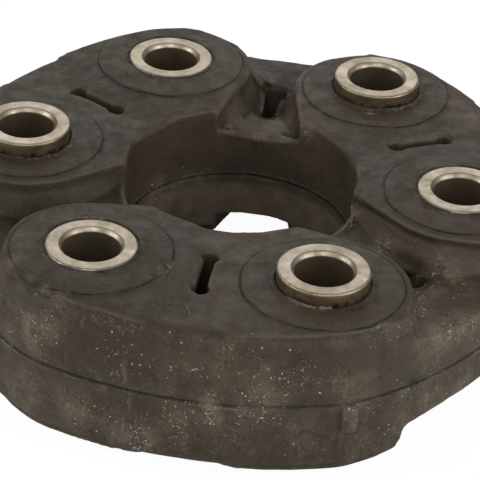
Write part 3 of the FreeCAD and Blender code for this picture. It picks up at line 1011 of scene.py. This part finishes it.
@dataclass(frozen=True)
class PhotoCamera:
    """The camera that took the view, solved from the outlines of the six bushes."""

    azimuth: float = 8.01
    elevation: float = 32.34
    roll: float = 3.63
    shift_right: float = -0.44 * MM
    shift_up: float = -17.53 * MM
    distance: float = 555.59 * MM
    aim_height: float = 18.8 * MM
    lens: float = 192.32
    sensor: float = 36.0
    pixels: int = 480
    clip: Band = (0.01, 20)

    def axes(self) -> tuple[Vector, Vector, Vector]:
        """Turn the angles into directions.

        Returns:
            The camera's right, up and back directions.
        """
        turn, rise, roll = (math.radians(angle) for angle in (self.azimuth, self.elevation, self.roll))
        back = Vector((math.sin(turn) * math.cos(rise), -math.cos(turn) * math.cos(rise), math.sin(rise)))
        level = Vector((math.cos(turn), math.sin(turn), 0))
        plumb = back.cross(level)
        right = math.cos(roll) * level + math.sin(roll) * plumb
        up = -math.sin(roll) * level + math.cos(roll) * plumb
        return right, up, back

    def place(self) -> Vector:
        """Where the camera stands."""
        right, up, back = self.axes()
        shift = right * self.shift_right + up * self.shift_up
        return shift + back * self.distance + Vector((0, 0, self.aim_height))

    def ray(self, across: float, down: float) -> Vector:
        """The direction through a point of the picture.

        Args:
            across: Pixels from the left.
            down: Pixels from the top.

        Returns:
            A unit direction.
        """
        right, up, back = self.axes()
        focal = self.lens / self.sensor * self.pixels
        middle = self.pixels / 2
        return (right * (across - middle) / focal + up * (middle - down) / focal - back).normalized()

    def build(self) -> None:
        """Make the camera and set it as the scene's."""
        data = bpy.data.cameras.new("photo_camera")
        data.lens = self.lens
        data.sensor_width = self.sensor
        data.clip_start, data.clip_end = self.clip
        camera = bpy.data.objects.new("photo_camera", data)
        bpy.context.scene.collection.objects.link(camera)
        turned = Matrix(self.axes()).transposed().to_4x4()
        camera.matrix_world = Matrix.Translation(self.place()) @ turned
        bpy.context.scene.camera = camera


@dataclass
class TurnedBush:
    """One steel bush with its mouths and rims rounded as a lathe and long use leave them."""

    plan: DiscPlan
    index: int
    steps: int = 112
    mouth: Corners = (
        (0.0, 1.4), (0.0, 1.1), (0.04, 0.92), (0.62, 0.15), (0.74, 0.04), (0.88, 0.0), (1.2, 0.0),
    )
    rim: Corners = (
        (0.8, 0.0), (0.5, 0.0), (0.32, 0.04), (0.12, 0.16), (0.03, 0.34), (0.0, 0.55), (0.0, 0.8),
    )

    def profile(self, low: float, high: float) -> list[Vector]:
        """The bush's outline on one side of its axis, from the bore's top round to its bottom.

        Args:
            low: The height of the lower face.
            high: The height of the upper face.

        Returns:
            Points with the radius as x and the height as z.
        """
        upper = [(self.plan.bore_radius + out * MM, down * MM) for out, down in self.mouth]
        upper += [(self.plan.bush_radius - back * MM, down * MM) for back, down in self.rim]
        points = [Vector((radius, 0, high - down)) for radius, down in upper]
        return points + [Vector((radius, 0, low + down)) for radius, down in reversed(upper)]

    def build(self) -> None:
        """Turn the bush, which stands for the construction's bush."""
        node = f"bush_{self.index + 1}"
        low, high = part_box(node)
        centre = self.plan.bush_centre(self.index)
        bm = bmesh.new()
        made = [bm.verts.new(point + centre) for point in self.profile(low.z, high.z)]
        edges = [bm.edges.new((made[number - 1], made[number])) for number in range(len(made))]
        bmesh.ops.spin(
            bm, geom=made + edges, cent=centre, axis=AXIS, angle=math.tau, steps=self.steps, use_merge=True,
        )
        steel = TurnedSteel(centre, self.index + 1)
        finish = steel.make(self.plan.bush_radius, self.plan.bore_radius, low.z, high.z)
        bush = add_piece(f"{node}_turned", closed(bm, node), finish)
        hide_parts(node)
        frame["nodes"][node].material_slots[0].material = finish


@dataclass
class SkinTracer:
    """Finds points of the rubber's skin from points of the picture."""

    camera: PhotoCamera
    mesh: Mesh
    spacing: float = 1.5
    longest: float = 40 * MM

    def __post_init__(self) -> None:
        """Sort the skin's faces for quick search."""
        self.surface = BVHTree.FromPolygons(
            [vert.co.copy() for vert in self.mesh.vertices],
            [tuple(face.vertices) for face in self.mesh.polygons],
        )

    def spot(self, across: float, down: float) -> tuple[Vector, Vector] | None:
        """The skin's point and normal behind a point of the picture, or None where it shows no skin."""
        hit, normal, _, _ = self.surface.ray_cast(self.camera.place(), self.camera.ray(across, down))
        return None if hit is None else (hit, normal)

    def path(self, corners: Corners) -> list[tuple[Vector, Vector]]:
        """Follow a line of the picture over the skin.

        Args:
            corners: The line's corners in pixels.

        Returns:
            Points of the skin along the line and their normals.
        """
        found = []
        for (x0, y0), (x1, y1) in zip(corners, corners[1:]):
            count = max(1, round(math.hypot(x1 - x0, y1 - y0) / self.spacing))
            for number in range(count):
                share = number / count
                found.append(self.spot(x0 + share * (x1 - x0), y0 + share * (y1 - y0)))
        found.append(self.spot(*corners[-1]))
        kept = [spot for spot in found if spot is not None]
        return [spot for spot in kept if (spot[0] - kept[0][0]).length < self.longest]


@dataclass
class WornMarks:
    """Ridges, creases and nicks of the skin, where the picture shows them."""

    camera: PhotoCamera
    strokes: Strokes = (
        (((221, 131), (240, 136), (262, 140), (285, 142), (300, 139)), 0.8, 0.5),
        (((225, 127), (231, 128)), 0.9, -0.9),
        (((289, 135), (298, 137)), 0.9, -0.9),
        (((300, 82), (299, 100), (301, 118), (303, 130)), 0.7, 0.5),
        (((241, 76), (229, 95), (216, 118)), 0.8, 0.4),
        (((6, 240), (8, 258), (22, 272), (42, 286), (55, 292), (67, 298)), 0.55, 0.4),
        (((157, 276), (162, 269), (169, 262)), 0.8, -0.7),
        (((160, 279), (166, 272), (172, 265)), 0.6, 0.5),
        (((413, 290), (414, 305), (415, 322), (414, 338)), 0.8, 0.4),
        (((130, 130), (128, 150), (126, 170)), 0.6, 0.3),
        (((361, 208), (382, 221), (407, 236), (433, 245), (478, 252)), 1.2, -1.1),
        (((388, 255), (398, 260), (407, 264), (415, 268)), 1.3, -0.9),
        (((351, 410), (351, 420), (350, 429)), 1.2, 0.55),
        (((340, 410), (340, 420), (339, 431)), 0.7, -0.5),
        (((359, 412), (359, 420), (358, 429)), 0.6, -0.35),
        (((344, 434), (350, 434), (356, 433)), 0.6, -0.4),
    )
    dust_and_light_smears: tuple[tuple[float, float, Corners], ...] = (
        (1, 0.6, ((30, 278), (45, 288), (58, 294), (12, 262))), (1, 0.7, ((170, 264),)),
        (1.2, 0.6, ((300, 100), (302, 116))), (1.2, 0.9, ((163, 272),)), (1.4, 0.5, ((292, 302),)),
        (1.4, 0.8, ((228, 128),)), (1.6, 0.7, ((354, 426),)), (1.6, 0.8, ((352, 414),)),
        (1.6, 0.9, ((307, 134),)), (1.6, 1, ((354, 215),)), (1.8, 0.8, ((390, 252),)),
        (2, 0.4, ((282, 105), (345, 97), (60, 300))), (2, 0.6, ((283, 138), (350, 303))),
        (2, 0.8, ((262, 108),)), (2, 0.9, ((418, 300),)), (2.2, 0.35, ((216, 242),)),
        (2.2, 0.7, ((262, 136),)), (2.4, 0.5, ((440, 258),)), (2.4, 0.8, ((424, 312),)),
        (2.4, 0.9, ((381, 246), (262, 96))), (2.5, 0.6, ((34, 348),)), (2.5, 0.8, ((213, 418),)),
        (3, 0.3, ((70, 118),)), (3, 0.4, ((180, 186), (200, 180))),
        (3, 0.5, ((12, 330), (425, 345), (470, 290), (234, 112), (365, 107))),
        (3, 0.6, ((350, 405), (286, 122))), (3, 0.7, ((48, 328), (435, 290))),
        (3, 0.9, ((30, 322), (31, 336), (210, 405), (318, 230), (257, 80))), (3.2, 0.8, ((458, 285),)),
        (3.4, 0.7, ((268, 124),)), (3.4, 0.8, ((245, 122),)), (3.5, 0.4, ((455, 100),)),
        (3.5, 0.5, ((470, 118),)), (3.5, 0.7, ((155, 195),)), (3.6, 0.8, ((445, 275),)),
        (4, 0.5, ((400, 425),)), (4, 0.6, ((250, 412), (345, 385), (430, 405), (462, 385))),
        (4, 0.8, ((470, 322), (140, 438))), (4.5, 0.9, ((437, 333), (455, 328))), (5, 0.4, ((300, 430),)),
        (5, 0.5, ((110, 428),)), (5, 0.6, ((75, 412), (265, 395))), (6, 0.5, ((20, 395),)),
    )

    def paint(self, mesh: Mesh) -> None:
        """Note on each point how much pale dust and painted light the picture shows there.

        Args:
            mesh: The finished mesh.
        """
        tracer = SkinTracer(self.camera, mesh)
        points, _ = read_skin(mesh)
        dust_and_light = np.zeros(len(points))
        for spread, strength, places in self.dust_and_light_smears:
            for spot in filter(None, (tracer.spot(*place) for place in places)):
                gap = np.linalg.norm(points - np.array(spot[0]), axis=1)
                dust_and_light = np.maximum(dust_and_light, strength * bell(gap, spread * MM))
        write_attribute(mesh, "dust_and_light", dust_and_light)

    def carve(self, mesh: Mesh) -> None:
        """Move the skin's points under each stroke.

        Args:
            mesh: The disc's mesh.
        """
        tracer = SkinTracer(self.camera, mesh)
        points, normals = read_skin(mesh)
        for corners, width, height in self.strokes:
            line = np.array([spot for spot, _ in tracer.path(corners)])
            low = line.min(0) - 3 * width * MM
            high = line.max(0) + 3 * width * MM
            near = np.where(((points > low) & (points < high)).all(1))[0]
            gap = np.full(len(near), np.inf)
            for spot in line:
                gap = np.minimum(gap, np.linalg.norm(points[near] - spot, axis=1))
            points[near] += normals[near] * (height * MM * bell(gap, width * MM))[:, None]
        write_points(mesh, points)


@dataclass
class RubberTears:
    """Frayed lips round the bushes, and torn strips and crumbs that stand up from the skin."""

    plan: DiscPlan
    camera: PhotoCamera
    lip_radius: float = 10.05 * MM
    lip_thick: float = 0.34 * MM
    lip_fray: float = 0.3 * MM
    lip_sides: int = 8
    lip_steps: int = 140
    strip_sides: int = 8
    strip_cuts: int = 8
    strips: Strokes = (
        (((275, 280), (279, 289), (286, 297)), 0.34, 0.7),
        (((286, 297), (296, 303), (308, 307), (318, 308.5)), 0.36, 0.7),
        (((318, 308.5), (325, 309), (332, 308.5)), 0.5, 0.8),
        (((334, 307), (339, 306), (344, 303)), 0.6, 0.9),
        (((347, 303), (352, 301), (358, 294)), 0.5, 0.8),
        (((361, 112), (368, 114), (376, 114)), 0.35, 0.4),
        (((352, 205), (354, 214), (351, 224)), 0.7, 0.5),
        (((375, 241), (384, 245), (391, 251)), 0.6, 0.4),
        (((305, 131), (307, 138)), 0.6, 0.5),
        (((226, 124), (230, 129)), 0.5, 0.5),
        (((165, 264), (171, 269)), 0.3, 0.4),
        (((190, 315), (186, 306), (180, 300)), 0.2, 0.25),
    )
    flap: Corners = ((245, 65), (269, 82))
    flap_width: float = 1.6 * MM
    flap_height: float = 0.5 * MM
    flap_rise: float = 1.4
    proud_level: float = 17.6 * MM
    flush_level: float = 18.55 * MM
    fray_grain: float = 2.6 * MM
    tear_grain: float = 5.0 * MM
    tear_depth: float = 1.6 * MM
    strip_grain: float = 1.3 * MM

    def lip(self, bm: BMesh, index: int, side: Side) -> None:
        """Turn one frayed ring of rubber round a bush.

        Args:
            bm: Where it goes.
            index: The bush's index.
            side: The face it lies on.
        """
        level = self.proud_level if self.plan.stands_proud(index, side) else self.flush_level
        centre = self.plan.bush_centre(index) + Vector((0, 0, side.value * level))
        made = bmesh.ops.create_circle(bm, segments=self.lip_sides, radius=self.lip_thick)["verts"]
        bmesh.ops.rotate(bm, verts=made, matrix=Matrix.Rotation(math.pi / 2, 3, "X"))
        bmesh.ops.translate(bm, verts=made, vec=centre + Vector((self.lip_radius, 0, 0)))
        before = set(bm.verts) - set(made)
        geom = made + list({edge for vert in made for edge in vert.link_edges})
        bmesh.ops.spin(
            bm, geom=geom, cent=centre, axis=AXIS, angle=math.tau, steps=self.lip_steps, use_merge=True,
        )
        for vert in bm.verts:
            if vert in before:
                continue
            outward = Vector((vert.co.x - centre.x, vert.co.y - centre.y, 0)).normalized()
            place = centre + outward * self.lip_radius
            fray = noise.noise(place / self.fray_grain + Vector((0, 0, index * 3.0)))
            torn = min(0.0, noise.noise(place / self.tear_grain + Vector((index * 5.0, 0, 0))) + 0.08)
            vert.co += outward * self.lip_fray * fray
            vert.co.z += side.value * (self.lip_fray * 0.5 * fray + self.tear_depth * torn)

    def strip(self, bm: BMesh, line: list, width: float, height: float, widens: bool = False) -> None:
        """Lay one torn strip along a line.

        Args:
            bm: Where it goes.
            line: Points and normals in order.
            width: Half the strip's width.
            height: Its height.
            widens: Whether it spreads toward its end like a tongue.
        """
        if len(line) < 2:
            return
        normal = sum((facing for _, facing in line), Vector()).normalized()
        along = (line[-1][0] - line[0][0]).normalized()
        aside = along.cross(normal).normalized()
        part = bmesh.new()
        bmesh.ops.create_cone(part, cap_ends=True, segments=self.strip_sides, radius1=1, radius2=1, depth=1)
        upright = [edge for edge in part.edges if abs(edge.verts[0].co.z - edge.verts[1].co.z) > 0.5]
        bmesh.ops.subdivide_edges(part, edges=upright, cuts=max(self.strip_cuts, len(line)))
        for vert in part.verts:
            passed = min(1.0, max(0.0, vert.co.z + 0.5))
            share = min(0.999, passed) * (len(line) - 1)
            number = int(share)
            spot = line[number][0].lerp(line[number + 1][0], share - number)
            spread = min(1.0, 1.3 * passed) if widens else math.sin(math.pi * passed) ** 0.6
            scale = (0.25 + 0.75 * spread) * (1 + 0.5 * noise.noise(spot / self.strip_grain))
            across = aside * vert.co.x * width * scale
            vert.co = spot + across + normal * (vert.co.y * 0.6 + 0.2) * height * scale
        merge(bm, part)

    def build(self, disc: Object, finish: Material, torn: Material) -> None:
        """Make the lips and the strips.

        Args:
            disc: The rubber disc.
            finish: The rubber's material.
            torn: The material of what is torn.
        """
        lips = bmesh.new()
        for index in range(BUSHES):
            for side in Side:
                self.lip(lips, index, side)
        add_piece("bush_lips", closed(lips, "bush_lips"), finish)
        tracer = SkinTracer(self.camera, disc.data)
        strips = bmesh.new()
        for corners, width, height in self.strips:
            self.strip(strips, tracer.path(corners), width * MM, height * MM)
        tilted = (self.camera.axes()[2] + Vector((0, 0, self.flap_rise))).normalized()
        spots = [tracer.spot(*corner) for corner in self.flap]
        ends = [(spot[0], tilted) for spot in spots if spot is not None]
        self.strip(strips, ends, self.flap_width, self.flap_height, widens=True)
        add_piece("torn_strips", closed(strips, "torn_strips"), torn)


@dataclass
class WallFlecks:
    """Pale flecks and lint stuck to the wall, where the picture shows them."""

    camera: PhotoCamera
    seed: int = 7
    fleck: float = 0.24 * MM
    flatness: float = 0.28
    unevenness: float = 0.16
    singles: Corners = (
        (52, 316), (33, 321), (112, 332), (132, 345), (116, 354), (132, 364), (171, 367), (193, 370),
        (219, 377), (252, 334), (262, 348), (290, 350), (268, 369), (254, 377), (302, 384), (320, 393),
        (286, 395), (262, 418), (164, 408), (170, 415), (293, 444), (285, 455), (349, 409),
    )
    clusters: tuple[tuple[float, float, float, float, int], ...] = (
        (205, 390, 216, 425, 60), (235, 370, 290, 425, 90), (130, 425, 150, 450, 60),
        (90, 325, 210, 385, 60), (60, 400, 200, 440, 50), (300, 400, 390, 450, 34), (10, 310, 60, 350, 22),
        (35, 320, 60, 345, 24), (430, 320, 478, 345, 50), (225, 124, 232, 130, 9), (304, 130, 311, 139, 9),
        (350, 203, 358, 228, 26), (372, 238, 392, 254, 26), (430, 262, 470, 300, 22),
        (412, 290, 425, 318, 30), (150, 165, 190, 200, 14), (308, 222, 330, 236, 12),
        (385, 380, 470, 425, 26), (250, 66, 270, 84, 12),
    )

    def spots(self) -> list[tuple[float, float, float]]:
        """Throw the flecks.

        Returns:
            Where each one is in the picture, and how large it is beside the others.
        """
        dice = random.Random(self.seed)
        found = [(x, y, dice.uniform(0.9, 1.5)) for x, y in self.singles]
        for left, top, right, bottom, count in self.clusters:
            for _ in range(count):
                across, down = dice.uniform(left, right), dice.uniform(top, bottom)
                found.append((across, down, dice.uniform(0.25, 0.95) ** 1.3))
        return found

    def build(self, disc: Object, finish: Material) -> None:
        """Lay the flecks on the rubber.

        Args:
            disc: The rubber disc.
            finish: The material of the pale flecks.
        """
        dice = random.Random(self.seed + 1)
        tracer = SkinTracer(self.camera, disc.data)
        bm = bmesh.new()
        for across, down, size in self.spots():
            spot = tracer.spot(across, down)
            if spot is None:
                continue
            hit, normal = spot
            made = bmesh.ops.create_icosphere(bm, subdivisions=1, radius=self.fleck * size)["verts"]
            long = dice.uniform(0.8, 1.9)
            spin = Matrix.Rotation(dice.uniform(0, math.tau), 4, "Z")
            squash = Matrix.Diagonal((long, 1 / long, self.flatness, 1))
            face_out = normal.to_track_quat("Z", "Y").to_matrix().to_4x4()
            bmesh.ops.transform(bm, matrix=Matrix.Translation(hit) @ face_out @ spin @ squash, verts=made)
            for vert in made:
                uneven = Vector([dice.uniform(-1, 1) for _ in range(3)])
                vert.co += uneven * self.fleck * size * self.unevenness
        add_piece("wall_flecks", closed(bm, "wall_flecks"), finish)


@dataclass
class Studio:
    """The pale floor, the soft lights and the white ground."""

    floor_level: float
    floor_half: float = 3.0
    sky: float = 0.26
    glow: float = 0.9
    floor_light: float = 1.06
    floor_tone: Tone = (0.92, 0.92, 0.92, 1)
    white: Tone = (1, 1, 1, 1)
    lamp_tone: tuple[float, float, float] = (1.0, 0.985, 0.96)
    lamps: tuple[tuple[str, tuple[float, float, float], float, float], ...] = (
        ("back_lamp", (-0.2, 1.05, 0.7), 1.0, 3.7),
        ("left_lamp", (-1.05, -0.4, 0.4), 0.6, 4.5),
        ("right_lamp", (1.05, -0.4, 0.4), 0.6, 5.5),
        ("front_lamp", (0.1, -1.0, 0.85), 0.7, 3.9),
    )

    def white_ground(self) -> None:
        """Light the scene evenly and show white behind the object."""
        bench = NodeBench("studio", bpy.data.worlds)
        bpy.context.scene.world = bench.owner
        path = bench.add("LightPath").outputs
        seen = bench.sum("MAXIMUM", path["Is Camera Ray"], path["Is Transmission Ray"])
        soft = bench.add("Background", Color=self.white, Strength=self.sky)
        plain = bench.add("Background", Color=self.white)
        mix = bench.add("MixShader", seen, soft.outputs[0], plain.outputs[0])
        bench.close(mix.outputs[0], "World")

    def floor_finish(self) -> Material:
        """Make a white finish that keeps the shadow.

        Returns:
            The floor's material.
        """
        bench = NodeBench("studio_floor")
        share = bench.product(bench.add("LightPath").outputs["Is Camera Ray"], self.glow)
        matt = bench.add("BsdfDiffuse", Color=self.floor_tone)
        lit = bench.add("Emission", Strength=self.floor_light)
        return bench.close(bench.add("MixShader", share, matt.outputs[0], lit.outputs[0]).outputs[0])

    def floor(self) -> None:
        """Lay the floor under the part."""
        bm = bmesh.new()
        bmesh.ops.create_grid(bm, x_segments=1, y_segments=1, size=self.floor_half)
        bmesh.ops.translate(bm, verts=bm.verts, vec=(0, 0, self.floor_level))
        mesh = bpy.data.meshes.new("studio_floor")
        bm.to_mesh(mesh)
        bm.free()
        mesh.materials.append(self.floor_finish())
        ground = bpy.data.objects.new("studio_floor", mesh)
        bpy.context.scene.collection.objects.link(ground)

    def lamp(self, name: str, place: tuple[float, float, float], size: float, power: float) -> None:
        """Hang one soft lamp that faces the part.

        Args:
            name: The lamp's name.
            place: Where it hangs.
            size: Its side.
            power: Its power in watts.
        """
        data = bpy.data.lights.new(name, "AREA")
        data.shape = "SQUARE"
        data.size = size
        data.energy = power
        data.color = self.lamp_tone
        light = bpy.data.objects.new(name, data)
        bpy.context.scene.collection.objects.link(light)
        facing = Vector(place).to_track_quat("Z", "Y").to_matrix().to_4x4()
        light.matrix_world = Matrix.Translation(place) @ facing

    def build(self) -> None:
        """Set the stage."""
        self.white_ground()
        self.floor()
        for name, place, size, power in self.lamps:
            self.lamp(name, place, size, power)
        bpy.context.scene.view_settings.view_transform = "Standard"


def dress_hidden(nodes: dict) -> list[str]:
    """Give the sealed pieces their finishes.

    Args:
        nodes: The frame's nodes.

    Returns:
        The names of the sealed pieces.
    """
    cord = WOUND_CORD.make()
    sheet = PRESSED_STEEL.make()
    sealed = []
    for name, node in sorted(nodes.items()):
        if "loop" in name or "collar" in name:
            node.material_slots[0].material = cord if "loop" in name else sheet
            sealed.append(name)
    LOG.info("sealed pieces dressed: %d", len(sealed))
    return sealed


def main() -> None:
    """Build the part and its stage."""
    logging.basicConfig(level=logging.INFO, format="%(message)s")
    plan = DiscPlan.read(frame["record"])
    camera = PhotoCamera()
    camera.build()
    Studio(floor_level=CAD_BOX[0].z).build()
    sealed = dress_hidden(frame["nodes"])
    for index in range(BUSHES):
        TurnedBush(plan, index).build()
    rubber = AgedRubber().make(plan)
    disc = RubberDisc(plan, sealed).build(rubber, WornMarks(camera))
    RubberTears(plan, camera).build(disc, rubber, TORN_RUBBER.make())
    WallFlecks(camera).build(disc, CHALK_DUST.make())


if __name__ == "__main__":
    main()
